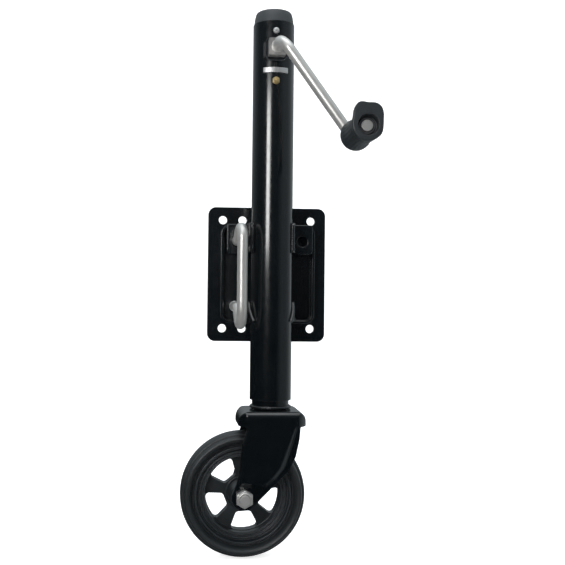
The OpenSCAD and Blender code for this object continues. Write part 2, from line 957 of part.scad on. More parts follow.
// Outer or inner skin of the crown: a round blank pressed down at its ends and sides
module crown_skin(off) {
    crown = crown_height - off;
    foot = 161 - off;
    half = 41 - off;
    intersection() {
        on_tube(0)
            slab(-fork_half, fork_half)
                polygon(concat(
                    [[-half, foot]], arc(-half + 13 - off, crown - 13 + off, 13 - off, 180, 90, 8),
                    arc(half - 13 + off, crown - 13 + off, 13 - off, 90, 0, 8), [[half, foot]]
                ));
        translate([-60, tube_y, ground_z])
            rotate([90, 0, 90])
                linear_extrude(120)
                    polygon(concat(
                        [[off - fork_half, foot]],
                        arc(-fork_half + 7, crown - 7 + off, 7 - off, 180, 90, 6),
                        arc(fork_half - 7, crown - 7 + off, 7 - off, 90, 0, 6),
                        [[fork_half - off, foot]]
                    ));
        on_tube(foot - 1)
            cylinder(r = 47 - off, h = 40);
    }
}

module caster_fork() {
    color("#101113")
    difference() {
        union() {
            difference() {
                crown_skin(0);
                crown_skin(fork_t);
            }
            fork_leg();
            translate([0, 2 * tube_y, 0])
                mirror([0, 1, 0])
                    fork_leg();
        }
        on_tube(crown_height - 20)
            cylinder(d = kingpin_d + 2 * fit, h = 40);
    }
}

module axle_bolt() {
    color("silver") {
        rod_y(axle_d, tube_y - boss_level - 13.5, tube_y + boss_level + 1, -trail, ground_z + axle_z);
        hex_y(axle_af, tube_y + boss_level, tube_y + boss_level + 8, -trail, ground_z + axle_z);
    }
}

module axle_nut() {
    // its collar, which grips the thread, stands in front of the hexagon
    nut_front = tube_y - boss_level - axle_nut_t - 2.6;
    color("silver")
    difference() {
        union() {
            translate([-trail, tube_y - boss_level, ground_z + axle_z])
                rotate([90, 0, 0])
                    cylinder(d = axle_af / cos(30), h = axle_nut_t, $fn = 6);
            rod_y(17.6, nut_front, tube_y - boss_level - 8, -trail, ground_z + axle_z);
        }
        rod_y(axle_d, nut_front - 1, tube_y - boss_level + 1, -trail, ground_z + axle_z);
    }
}

module axle_sleeve() {
    half = boss_level - fork_t;
    color("silver")
        ring_y(sleeve_r, axle_d / 2 + fit, tube_y - half, tube_y + half, -trail, ground_z + axle_z);
}

module axle_washers() {
    half = boss_level - fork_t;
    color("silver")
    for (side = [-1, 1])
        translate([0, tube_y + side * (half + hub_half + 0.1) / 2, 0])
            ring_y(
                14, sleeve_r + fit, -(half - hub_half - 0.1) / 2, (half - hub_half - 0.1) / 2,
                -trail, ground_z + axle_z
            );
}

// ---------- wheel ----------

module on_axle() {
    translate([-trail, tube_y, ground_z + axle_z])
        rotate([-90, 0, 0])
            children();
}

// Outline of one opening: a rounded sector between the hub and the rim
module opening_outline() {
    offset(r = 4.5, $fn = 32)
        polygon(concat(arc(0, 0, 40.5, -16.2, 16.2, 6), [[26.8, 5.9], [26.8, -5.9]]));
}

// The web with the openings stands behind a dished front
module wheel_rim() {
    color("#1b1c1e")
    on_axle()
        difference() {
            rotate_extrude()
                polygon([
                    [bush_r, -hub_half], [hub_r - 1, -hub_half], [hub_r, -hub_half + 1],
                    [hub_r + 2.5, -2], [hub_r + 4.5, 0], [44.5, 0], [45.6, -1.2], [46, -8.4],
                    [46.6, -10], [47.6, -10], [48.4, -8.8], [50.8, -8.8], [51.4, -10],
                    [52.6, -10], [53.4, -8.6], [55.4, -9], [56.4, -13.6], [57.2, -lip_half],
                    [58.6, 0.4 - lip_half], [rim_r, -12], [rim_r, 12], [58.6, lip_half - 0.4],
                    [57.2, lip_half], [56.2, lip_half - 0.6], [55.4, web_back],
                    [hub_r + 3, web_back], [hub_r, hub_half - 1], [hub_r - 1, hub_half], [bush_r, hub_half]
                ]);
            for (i = [0 : wheel_openings - 1])
                rotate([0, 0, 90 - wheel_rest + 360 * i / wheel_openings])
                    translate([0, 0, -20])
                        linear_extrude(40)
                            opening_outline();
        }
}

// Half of the tyre's section from the rim to the tread: radius, and distance from the middle plane
function tyre_half() = [
    [rim_r, 12], [61.4, 12.8], [62.6, 15.4], [64.6, 18.6], [66.6, tyre_w / 2 - 0.6], [68.6, tyre_w / 2],
    [70.4, tyre_w / 2 - 1], [71.6, 16.6], [72.2, 13.4], [73.4, 12.8], [75, 10.8], [75.9, 8], [wheel_d / 2, 5]
];

module tyre() {
    half = tyre_half();
    color("#3a3b3d")
    on_axle()
        rotate_extrude()
            polygon(concat(
                [for (p = half) [p[0], -p[1]]],
                [for (i = [len(half) - 1 : -1 : 0]) half[i]]
            ));
}

module hub_bushes() {
    color("#d8d2c0")
    for (side = [-1, 1])
        ring_y(
            bush_r, sleeve_r + fit,
            tube_y + (side > 0 ? hub_half - 18 : -hub_half), tube_y + (side > 0 ? hub_half : 18 - hub_half),
            -trail, ground_z + axle_z
        );
}

// ---------- pull pin ----------

// The bow lies in front of the bracket. This is its upper half, from the leg to the middle of the run:
// each point is x, the distance in front of the tube's axis, and the height over the pivot.
pin_tip = -plate_t - 0.5;
bow_half = [
    [-lock_half, -8, lock_half], [-lock_half, -4.5, lock_half + 0.1], [-41.1, -1.5, lock_half + 1],
    [-40.9, 1.5, 44.4], [-40.5, 5, 48.2], [-40.1, 8.4, 51.8], [-39.7, 11.6, 54],
    [-39.4, 15, 54.7], [-39.1, 18.6, 54.2], [-38.8, 22.2, 52.4], [-38.6, 25.2, 49.4],
    [-38.5, 27.2, 45.6], [-38.5, 28, 41], [-38.5, 28, 20], [-38.5, 28, 0]
];
// The lower half flares a little further than the upper one
function lower(p) = [p[0], p[1], -p[2] - 0.55 * max(0, p[2] - lock_half)];
function bow_route() = [
    for (p = concat(bow_half, [for (i = [len(bow_half) - 2 : -1 : 0]) lower(bow_half[i])]))
        [p[0], tube_y - p[1], p[2]]
];

module pull_handle() {
    color("#cfd0d2") {
        for (z = [-lock_half, lock_half]) {
            rod_y(pin_d, tube_y + 7.5, pin_tip - 1.2, -lock_half, z);
            translate([-lock_half, pin_tip - 1.2, z])
                rotate([-90, 0, 0])
                    cylinder(d1 = pin_d, d2 = pin_d - 2, h = 1.2);
        }
        sweep(bow_route(), pin_d / 2 - join, 16, [1, 0, 0.001]);
    }
}

// Clip in a groove of the upper leg, which the spring pushes on
module pin_clip() {
    color("#77797d")
        ring_y(pin_d / 2 + 3.6, pin_d / 2 + fit, clip_y, clip_y + clip_t, -lock_half, lock_half);
}

function coil(r, y0, y1, turns, steps) = [
    for (i = [0 : turns * steps])
        let (a = 360 * i / steps)
        [r * cos(a) - lock_half, y0 + (y1 - y0) * i / (turns * steps), r * sin(a) + lock_half]
];

module pin_spring() {
    wire = 0.75;
    radius = pin_d / 2 + 1.7;
    color("#a8aaad")
        sweep(
            coil(radius, ear_front + sheet_t + wire + 0.1, clip_y - wire - 0.1, spring_coils, 14),
            wire, 6, [0, 1, 0]
        );
}

// ---------- the assembly ----------

mounting_plate();
pivot_pin();
pivot_washer();
pivot_lock_washer();
pivot_nut();
swivel_bracket();
pin_guide();
lower_saddle();
outer_tube();
guide_key();
top_cap();
cap_screw();
shaft_boss();
front_bush();
rear_bush();
support_plate();
thrust_bearing();
grease_fitting();
crank_shaft();
shaft_clip();
drive_pinion();
pinion_pin();
crank_block();
block_pin();
crank_arm();
crank_grip();
grip_washer();
lead_screw();
bevel_gear();
gear_pin();
inner_tube();
screw_nut();
foot_plug();
kingpin();
kingpin_washer();
kingpin_nut();
swivel_washer();
caster_fork();
axle_bolt();
axle_nut();
axle_sleeve();
axle_washers();
wheel_rim();
tyre();
hub_bushes();
pull_handle();
pin_clip();
pin_spring();
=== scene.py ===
"""Looks of the trailer tongue jack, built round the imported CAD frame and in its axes. Units are metres."""

import json
import math

import bmesh
import bpy
import numpy as np
from mathutils import Matrix, Vector, geometry, noise

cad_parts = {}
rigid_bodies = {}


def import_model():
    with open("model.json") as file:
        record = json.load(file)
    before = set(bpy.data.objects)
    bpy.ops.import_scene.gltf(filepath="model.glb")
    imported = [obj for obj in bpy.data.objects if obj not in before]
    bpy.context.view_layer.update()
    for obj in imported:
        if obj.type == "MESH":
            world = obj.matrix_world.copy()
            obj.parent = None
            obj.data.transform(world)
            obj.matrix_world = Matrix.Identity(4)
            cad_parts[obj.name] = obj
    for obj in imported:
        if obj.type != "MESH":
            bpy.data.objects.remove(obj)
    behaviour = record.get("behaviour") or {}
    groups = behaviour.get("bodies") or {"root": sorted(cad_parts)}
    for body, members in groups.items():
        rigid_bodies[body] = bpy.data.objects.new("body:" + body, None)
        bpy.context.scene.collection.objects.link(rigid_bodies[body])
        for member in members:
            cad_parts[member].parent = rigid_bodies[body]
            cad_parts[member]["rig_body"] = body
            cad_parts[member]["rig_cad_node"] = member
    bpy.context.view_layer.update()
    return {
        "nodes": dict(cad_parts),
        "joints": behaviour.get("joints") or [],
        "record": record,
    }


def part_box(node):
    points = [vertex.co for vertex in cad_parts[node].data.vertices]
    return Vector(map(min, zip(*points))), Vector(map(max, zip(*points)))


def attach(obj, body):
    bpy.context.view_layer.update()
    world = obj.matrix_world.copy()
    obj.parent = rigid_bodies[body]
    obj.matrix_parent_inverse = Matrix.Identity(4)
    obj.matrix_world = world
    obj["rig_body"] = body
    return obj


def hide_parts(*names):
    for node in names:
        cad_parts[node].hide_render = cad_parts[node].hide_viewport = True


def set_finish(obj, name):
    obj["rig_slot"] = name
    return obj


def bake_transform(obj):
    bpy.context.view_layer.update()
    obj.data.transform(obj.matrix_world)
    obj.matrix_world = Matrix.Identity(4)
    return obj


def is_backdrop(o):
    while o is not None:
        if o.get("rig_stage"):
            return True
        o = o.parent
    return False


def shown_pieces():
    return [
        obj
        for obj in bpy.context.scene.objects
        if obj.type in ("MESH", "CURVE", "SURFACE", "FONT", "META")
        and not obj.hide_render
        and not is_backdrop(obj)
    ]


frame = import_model()
nodes = frame["nodes"]
joints = {joint["name"]: joint for joint in frame["joints"]}
MM = 0.001


# ---------- places taken from the frame ----------

def middle(node):
    low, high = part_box(node)
    return (low + high) / 2


def size(node):
    low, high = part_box(node)
    return high - low


TUBE_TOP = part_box("outer_tube")[1].z
TUBE_Y = middle("outer_tube").y
TUBE_R = size("outer_tube").x / 2
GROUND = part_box("tyre")[0].z
AXLE = Vector(joints["wheel_spin"]["pos_m"])
CRANK = Vector(joints["crank_turn"]["pos_m"])
GRIP = Vector(joints["grip_spin"]["pos_m"])


# ---------- meshes ----------

def add_piece(name, shape, body, slot, *replaced):
    """A smooth mesh made of (vertices, faces), riding on a body and taking a slot of the record."""
    piece = bare_object(name, shape)
    build = bmesh.new()
    build.from_mesh(piece.data)
    bmesh.ops.remove_doubles(build, verts=build.verts, dist=1e-7)
    bmesh.ops.recalc_face_normals(build, faces=build.faces)
    build.to_mesh(piece.data)
    build.free()
    shade_smooth(piece)
    if body:
        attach(piece, body)
    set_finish(piece, slot)
    if replaced:
        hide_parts(*replaced)
    return piece


def bare_object(name, shape):
    """An object made of (vertices, faces), with nothing said about it yet."""
    mesh = bpy.data.meshes.new(name)
    mesh.from_pydata([tuple(v) for v in shape[0]], [], shape[1])
    made = bpy.data.objects.new(name, mesh)
    bpy.context.scene.collection.objects.link(made)
    return made


def shade_smooth(piece):
    piece.data.polygons.foreach_set("use_smooth", [True] * len(piece.data.polygons))
    even = piece.modifiers.new("even_normals", "WEIGHTED_NORMAL")
    even.keep_sharp = False
    even.weight = 60


def joined(*shapes):
    """Several (vertices, faces) as one."""
    verts, faces = [], []
    for v, f in shapes:
        start = len(verts)
        verts += [Vector(p) for p in v]
        faces += [tuple(start + i for i in face) for face in f]
    return verts, faces


def moved(shape, matrix):
    return [matrix @ Vector(v) for v in shape[0]], shape[1]


def to_front(x, y, z):
    """Carries a shape made about Z to this point, with its +Z pointing to the front (-Y)."""
    return Matrix.Translation((x, y, z)) @ Matrix.Rotation(math.radians(90), 4, "X")


def rounded(points, radius, steps, closed=False):
    """An outline with its corners turned into short curves."""
    points = [Vector(p) for p in points]
    count = len(points)
    made = []
    for i, corner in enumerate(points):
        if not closed and i in (0, count - 1):
            made.append(corner)
            continue
        before, after = points[i - 1] - corner, points[(i + 1) % count] - corner
        cut = min(radius, 0.45 * before.length, 0.45 * after.length)
        start, end = corner + before.normalized() * cut, corner + after.normalized() * cut
        for k in range(steps + 1):
            t = k / steps
            made.append((1 - t) ** 2 * start + 2 * t * (1 - t) * corner + t * t * end)
    return made


def lathe(profile, count=96, closed=False):
    """An outline of (radius, height) turned about Z."""
    verts, faces, rings = [], [], []
    for r, h in profile:
        on_axis = r < 1e-7
        rings.append((len(verts), on_axis))
        for k in range(1 if on_axis else count):
            a = 2 * math.pi * k / count
            verts.append((r * math.cos(a), r * math.sin(a), h))
    following = rings[1:] + (rings[:1] if closed else [])
    for (a, a_axis), (b, b_axis) in zip(rings, following):
        for k in range(count):
            n = (k + 1) % count
            if a_axis and not b_axis:
                faces.append((a, b + k, b + n))
            elif b_axis and not a_axis:
                faces.append((a + k, a + n, b))
            elif not a_axis:
                faces.append((a + k, a + n, b + n, b + k))
    return verts, faces


def bent(corners, radii, steps):
    """A route of straight lines through the corners, with a circular bend at each inner one."""
    corners = [Vector(c) for c in corners]
    route = [corners[0]]
    for i, radius in enumerate(radii, start=1):
        corner = corners[i]
        a, b = (corner - corners[i - 1]).normalized(), (corners[i + 1] - corner).normalized()
        turn = a.angle(b)
        reach = radius * math.tan(turn / 2)
        centre = corner + (b - a).normalized() * (radius / math.cos(turn / 2))
        spoke = corner - a * reach - centre
        axis = a.cross(b)
        route += [centre + Matrix.Rotation(turn * k / steps, 3, axis) @ spoke for k in range(steps + 1)]
    return route + [corners[-1]]


def rod(route, radius, sides, chamfer, shape=None):
    """A round bar along a route, with chamfered ends. shape(share of the way, angle) scales its radius."""
    route = [Vector(p) for p in route]
    first, last = (route[1] - route[0]).normalized(), (route[-1] - route[-2]).normalized()
    stations = [(route[0], radius - chamfer), (route[0] + first * chamfer, radius)]
    stations += [(p, radius) for p in route[1:-1]]
    stations += [(route[-1] - last * chamfer, radius), (route[-1], radius - chamfer)]
    places = [p for p, _ in stations]
    lengths = np.cumsum([0] + [(b - a).length for a, b in zip(places, places[1:])])
    side = first.orthogonal().normalized()
    verts, faces = [], []
    for i, (place, r) in enumerate(stations):
        ahead = (places[min(i + 1, len(places) - 1)] - places[max(i - 1, 0)]).normalized()
        side = (side - ahead * side.dot(ahead)).normalized()
        other = ahead.cross(side)
        for k in range(sides):
            a = 2 * math.pi * k / sides
            scale = shape(lengths[i] / lengths[-1], a) if shape else 1
            verts.append(place + (side * math.cos(a) + other * math.sin(a)) * r * scale)
    for i in range(len(stations) - 1):
        for k in range(sides):
            n = (k + 1) % sides
            faces.append((i * sides + k, i * sides + n, (i + 1) * sides + n, (i + 1) * sides + k))
    faces += [tuple(range(sides)), tuple(len(verts) - sides + k for k in range(sides))]
    return verts, faces


def bead(route, radius, seed, pitch=0.0022):
    """A weld bead: a fat line with ripples across it and a tapered start and end."""
    route = [Vector(p) for p in route]
    length = sum((b - a).length for a, b in zip(route, route[1:]))
    station, taper = 0.5 * MM, 3 * MM
    places = resample(route, max(8, round(length / station)))
    closed = (route[0] - route[-1]).length < 1e-6

    def ripple(share, angle):
        wave = 0.5 + 0.5 * math.cos(2 * math.pi * share * length / pitch + 0.7 * math.cos(angle))
        rough = noise.noise(Vector((share * length * 400, math.cos(angle), seed + math.sin(angle))))
        end = 1 if closed else min(1.0, 0.35 + min(share, 1 - share) * length / taper)
        return (0.88 + 0.12 * wave + 0.1 * rough) * end

    return rod(places, radius, 14, 0.2 * MM, ripple)


def resample(route, count):
    """count + 1 points at even steps along a route."""
    steps = [(b - a).length for a, b in zip(route, route[1:])]
    total = np.cumsum([0] + steps)
    made = []
    for k in range(count + 1):
        s = total[-1] * k / count
        i = min(int(np.searchsorted(total, s, side="right")) - 1, len(steps) - 1)
        made.append(route[i].lerp(route[i + 1], (s - total[i]) / steps[i]))
    return made


def around(radius, start, end, z, steps=40):
    """Points of a level arc round the tube, in degrees from +X."""
    turns = [math.radians(start + (end - start) * k / steps) for k in range(steps + 1)]
    return [Vector((radius * math.cos(a), TUBE_Y + radius * math.sin(a), z)) for a in turns]


def hexagon(flats, height, bore):
    """A hexagonal nut about Z, with coned corners above and below and a chamfered bore."""
    def corner(angle):
        return flats / 2 / math.cos((angle + math.pi / 6) % (math.pi / 3) - math.pi / 6)

    # the flat end stops short of the flats, and the corners fall away from it as a cone of 30 degrees
    reach, cone, bevel = flats / 2 * 0.97, math.tan(math.radians(30)), 0.6 * MM
    count = 120
    verts = []
    for share, top in ((0, 1), (0.5, 1), (1, 1), (1, 0), (0.5, 0), (0, 0)):
        for k in range(count):
            a = 2 * math.pi * k / count
            r = reach + (corner(a) - reach) * share if share else reach
            drop = max(0.0, r - reach) * cone
            h = height - drop if top else drop
            verts.append((r * math.cos(a), r * math.sin(a), h))
    rims = [(bore + bevel, 0.0), (bore, bevel), (bore, height - bevel), (bore + bevel, height)]
    for r, h in rims:
        for k in range(count):
            a = 2 * math.pi * k / count
            verts.append((r * math.cos(a), r * math.sin(a), h))
    return verts, row_faces(len(verts) // count, count)


def row_faces(rows, count):
    """Faces between rows of count points, all closed into rings, where the last row meets the first."""
    faces = []
    for i in range(rows):
        j = (i + 1) % rows
        for k in range(count):
            n = (k + 1) % count
            faces.append((i * count + k, i * count + n, j * count + n, j * count + k))
    return faces


def softened(node, name, slot, voxel, passes):
    """A CAD sheet-metal node as a new piece with pressed, rounded edges, in place of the node."""
    source = nodes[node]
    piece = bpy.data.objects.new(name, source.data.copy())
    bpy.context.scene.collection.objects.link(piece)
    remesh = piece.modifiers.new("remesh", "REMESH")
    remesh.mode = "VOXEL"
    remesh.voxel_size = voxel
    ease = piece.modifiers.new("ease", "SMOOTH")
    ease.factor = 0.5
    ease.iterations = passes
    bpy.context.view_layer.update()
    graph = bpy.context.evaluated_depsgraph_get()
    mesh = bpy.data.meshes.new_from_object(piece.evaluated_get(graph))
    piece.modifiers.clear()
    piece.data = mesh
    mesh.name = name
    piece.data.materials.clear()
    piece.data.polygons.foreach_set("use_smooth", [True] * len(mesh.polygons))
    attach(piece, source["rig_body"])
    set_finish(piece, slot)
    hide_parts(node)


def refine(node, width):
    """Rounds the edges of a CAD node that stays."""
    piece = nodes[node]
    if "custom_normal" in piece.data.attributes:
        piece.data.attributes.remove(piece.data.attributes["custom_normal"])
    weld = piece.modifiers.new("weld", "WELD")
    weld.merge_threshold = 2e-6
    round_edges(piece, width, 32, 0.1)


def round_edges(piece, width, angle, flatness):
    """Joins the facets of faces that are flat within flatness, then rounds edges sharper than angle."""
    flat = piece.modifiers.new("flat", "DECIMATE")
    flat.decimate_type = "DISSOLVE"
    flat.angle_limit = math.radians(flatness)
    edge = piece.modifiers.new("edge", "BEVEL")
    edge.limit_method = "ANGLE"
    edge.angle_limit = math.radians(angle)
    edge.width = width
    edge.segments = 3
    shade_smooth(piece)


# ---------- materials ----------

class Graph:
    """Short calls for building the node tree of a material or a world."""

    def __init__(self, owner):
        owner.use_nodes = True
        self.tree = owner.node_tree
        self.tree.nodes.clear()

    def node(self, kind, settings=None, **inputs):
        made = self.tree.nodes.new(kind)
        for key, value in (settings or {}).items():
            setattr(made, key, value)
        for key, value in inputs.items():
            self.put(made.inputs[key.replace("_", " ")], value)
        return made

    def put(self, socket, value):
        if isinstance(value, bpy.types.NodeSocket):
            self.tree.links.new(value, socket)
        else:
            socket.default_value = value

    def math(self, operation, a, b=0.0, clamp=False):
        made = self.node("ShaderNodeMath", {"operation": operation, "use_clamp": clamp})
        self.put(made.inputs[0], a)
        self.put(made.inputs[1], b)
        return made.outputs[0]

    def noise(self, place, scale, detail, rough):
        made = self.node("ShaderNodeTexNoise", Vector=place, Scale=scale, Detail=detail, Roughness=rough)
        return made.outputs["Fac"]

    def spread(self, value, low, high, to_low=0.0, to_high=1.0):
        made = self.node("ShaderNodeMapRange", {"clamp": True})
        for i, v in enumerate((value, low, high, to_low, to_high)):
            self.put(made.inputs[i], v)
        return made.outputs[0]

    def mix(self, share, a, b):
        made = self.node("ShaderNodeMix", {"data_type": "RGBA"})
        self.put(made.inputs[0], share)
        self.put(made.inputs[6], a)
        self.put(made.inputs[7], b)
        return made.outputs[2]


def colour(rgb, scale=1.0):
    return tuple(min(1.0, c * scale) for c in rgb) + (1.0,)


def finish_of(name, rgb, rough, grain, grain_depth, metal=0.0, coat=0.0, coat_rough=0.08,
              vary=0.18, peel=0.0, wear_and_highlight_colour=None, wear=0.5, edge_highlight=0.0, dust=0.0):
    """A procedural finish: clouded colour and roughness, a fine grain, edges with wear and a painted
    highlight, and specks of dust.

    grain is the scale of the fine bumps. Their depth and peel, the depth of orange peel, are in
    micrometres. Edges show the edge colour as wear in broken patches, by the share wear, and as a
    painted highlight all along them, by the share edge_highlight.
    """
    material = bpy.data.materials.new(name)
    g = Graph(material)
    place = g.node("ShaderNodeTexCoord").outputs["Object"]
    cloud = g.noise(place, 28.0, 4.0, 0.55)
    blotch = g.noise(place, 140.0, 3.0, 0.6)
    fine = g.noise(place, grain, 2.0, 0.6)
    tone = g.spread(cloud, 0.3, 0.7)
    base = g.mix(tone, colour(rgb, 1 - vary), colour(rgb, 1 + vary))
    roughness = g.math("ADD", g.spread(blotch, 0.3, 0.7, -0.04, 0.05), rough, True)
    height = g.math("MULTIPLY", fine, grain_depth / 1000)
    if peel:
        ripple = g.noise(place, 330.0, 1.0, 0.4)
        height = g.math("ADD", height, g.math("MULTIPLY", ripple, peel / 1000))
    if dust:
        specks = g.noise(place, 1500.0, 0.0, 0.5)
        patch = g.spread(blotch, 0.45, 0.75)
        speck = g.math("MULTIPLY", g.spread(specks, 0.74, 0.82), g.math("MULTIPLY", patch, dust))
        base = g.mix(speck, base, (0.22, 0.215, 0.2, 1.0))
        roughness = g.math("ADD", roughness, g.math("MULTIPLY", speck, 0.4), True)
    if wear_and_highlight_colour:
        smooth = g.node("ShaderNodeBevel", {"samples": 4}, Radius=0.0011).outputs[0]
        straight = g.node("ShaderNodeNewGeometry").outputs["Normal"]
        turn = g.node("ShaderNodeVectorMath", {"operation": "DOT_PRODUCT"})
        g.put(turn.inputs[0], smooth)
        g.put(turn.inputs[1], straight)
        edge = g.spread(turn.outputs["Value"], 0.985, 0.88)
        broken = g.spread(g.noise(place, 420.0, 5.0, 0.7), 0.52, 0.66)
        # the edges take the edge colour in broken patches of wear, and all along them as a painted highlight
        share = g.math("ADD", g.math("MULTIPLY", broken, wear), edge_highlight)
        wear_and_highlight_mask = g.math("MULTIPLY", edge, share, True)
        base = g.mix(wear_and_highlight_mask, base, colour(wear_and_highlight_colour))
        roughness = g.math("ADD", roughness, g.math("MULTIPLY", wear_and_highlight_mask, 0.15), True)
    bump = g.node("ShaderNodeBump", Strength=1.0, Distance=MM, Height=height)
    shader = g.node("ShaderNodeBsdfPrincipled", Base_Color=base, Roughness=roughness,
                    Metallic=metal, Normal=bump.outputs[0])
    shader.inputs["Coat Weight"].default_value = coat
    shader.inputs["Coat Roughness"].default_value = coat_rough
    out = g.node("ShaderNodeOutputMaterial")
    g.tree.links.new(shader.outputs[0], out.inputs["Surface"])
    return material


# primer showing through where paint wears off the edges, light enough to serve also as the painted highlight
# along them
WORN_PRIMER_AND_EDGE_HIGHLIGHT = (0.130, 0.136, 0.142)
# in gloss_black, black_paint, rim_plastic and tyre_rubber every edge is also lightened all along with the
# edge colour, a painted highlight; on the rim the edge colour is mostly this painted highlight
FINISHES = {
    "gloss_black": dict(
        rgb=(0.0020, 0.0031, 0.0040), rough=0.18, coat=0.35, coat_rough=0.10, grain=900, grain_depth=0.4,
        peel=2, wear_and_highlight_colour=WORN_PRIMER_AND_EDGE_HIGHLIGHT, wear=0.25, edge_highlight=0.12, dust=0.03),
    "black_paint": dict(
        rgb=(0.0032, 0.0046, 0.0060), rough=0.20, coat=0.25, coat_rough=0.12, grain=900, grain_depth=0.8,
        peel=4, wear_and_highlight_colour=WORN_PRIMER_AND_EDGE_HIGHLIGHT, wear=0.45, edge_highlight=0.75, dust=0.06),
    "cap_plastic": dict(
        rgb=(0.036, 0.041, 0.044), rough=0.44, grain=2400, grain_depth=20,
        wear_and_highlight_colour=(0.10, 0.105, 0.11), wear=0.35, dust=0.15),
    "grip_plastic": dict(
        rgb=(0.0165, 0.0195, 0.0215), rough=0.42, grain=2200, grain_depth=30,
        wear_and_highlight_colour=(0.075, 0.08, 0.085), wear=0.4, dust=0.15),
    "rim_plastic": dict(
        rgb=(0.0150, 0.0180, 0.0200), rough=0.32, grain=1900, grain_depth=3,
        wear_and_highlight_colour=(0.125, 0.132, 0.138), wear=0.1, edge_highlight=0.7, dust=0.06),
    "tyre_rubber": dict(
        rgb=(0.0125, 0.0150, 0.0165), rough=0.45, grain=1700, grain_depth=8,
        wear_and_highlight_colour=(0.06, 0.064, 0.068), wear=0.3, edge_highlight=0.25, dust=0.12),
    "stainless": dict(
        rgb=(0.60, 0.59, 0.57), rough=0.39, metal=0.78, vary=0.05, grain=1500, grain_depth=4,
        wear_and_highlight_colour=(0.8, 0.79, 0.78)),
    "zinc_steel": dict(
        rgb=(0.60, 0.60, 0.60), rough=0.36, metal=0.78, vary=0.09, grain=1200, grain_depth=8,
        wear_and_highlight_colour=(0.75, 0.75, 0.76), dust=0.1),
    "dark_steel": dict(
        rgb=(0.20, 0.20, 0.21), rough=0.40, metal=0.9, vary=0.15, grain=1200, grain_depth=10,
        wear_and_highlight_colour=(0.45, 0.45, 0.46)),
    "bronze": dict(
        rgb=(0.50, 0.33, 0.17), rough=0.38, metal=0.9, vary=0.14, grain=1300, grain_depth=10,
        wear_and_highlight_colour=(0.65, 0.47, 0.28), wear=0.4),
    "brass": dict(
        rgb=(0.62, 0.47, 0.22), rough=0.32, metal=0.85, vary=0.10, grain=1300, grain_depth=6,
        wear_and_highlight_colour=(0.8, 0.66, 0.38)),
    "block_steel": dict(
        rgb=(0.33, 0.32, 0.315), rough=0.42, metal=0.8, vary=0.08, grain=1400, grain_depth=8,
        wear_and_highlight_colour=(0.6, 0.6, 0.6)),
    "bush_plastic": dict(rgb=(0.70, 0.67, 0.58), rough=0.45, vary=0.06, grain=1500, grain_depth=10),
}
LOOKS = {name: finish_of(name, **finish) for name, finish in FINISHES.items()}


def paint(piece, slot):
    piece.data.materials.clear()
    piece.data.materials.append(LOOKS[slot])


# ---------- pieces that stand for CAD nodes ----------

def make_top_cap():
    """Moulded cap: a coned side, a rounded shoulder and a slightly crowned top."""
    low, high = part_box("top_cap")
    top, foot = high.z, TUBE_TOP
    r = size("top_cap").x / 2
    rise = top - foot
    fall = 0.5 * MM
    crown = [(0.4 * r * k / 3, top - fall * (k / 3) ** 2) for k in range(4)]
    outline = crown + rounded(
        [(0.45 * r, top - fall), (r - 3.0 * MM, top - 1.4 * MM), (r - 1.2 * MM, foot + 0.55 * rise),
         (r, foot + 1.0 * MM), (r, foot)], 2.8 * MM, 6)[1:]
    plug = size("inner_tube").x / 2
    wall, ceiling = 2.5 * MM, foot + 6 * MM
    outline += [(plug, foot), (plug, low.z), (plug - wall, low.z), (plug - wall, ceiling), (0, ceiling)]
    shape = moved(lathe([tuple(p) for p in outline], 128), Matrix.Translation((0, TUBE_Y, 0)))
    add_piece("moulded_top_cap", shape, "jack", "cap_plastic", "top_cap")


def make_tyre():
    """Solid tyre: a bulged wall between the groove at the rim and the crease under the tread."""
    low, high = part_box("tyre")
    r, half = (high.x - low.x) / 2, (high.y - low.y) / 2
    rim = size("wheel_rim").x / 2
    # from the rim to the tread, in mm: distance outside the rim, and distance from the middle plane
    wall = [(0, 12.0), (0.5, 12.3), (1.0, 12.1), (1.5, 12.6), (2.1, 14.2), (3.2, 16.8), (4.8, 19.0),
            (6.6, 20.5), (8.4, half / MM), (10.0, 20.2), (11.1, 17.8), (11.7, 15.2), (12.0, 13.5),
            (12.3, 12.9), (12.9, 13.0), (13.9, 12.4), (15.0, 10.9), (15.8, 8.4), ((r - rim) / MM, 5.0)]
    side = [(rim + p.x * MM, p.y * MM) for p in rounded([(a, b, 0) for a, b in wall], 0.5, 3)]
    outline = side + [(a, -b) for a, b in reversed(side)]
    shape = moved(lathe(outline, 160, closed=True), to_front(AXLE.x, AXLE.y, AXLE.z))
    add_piece("rubber_tyre", shape, "wheel", "tyre_rubber", "tyre")


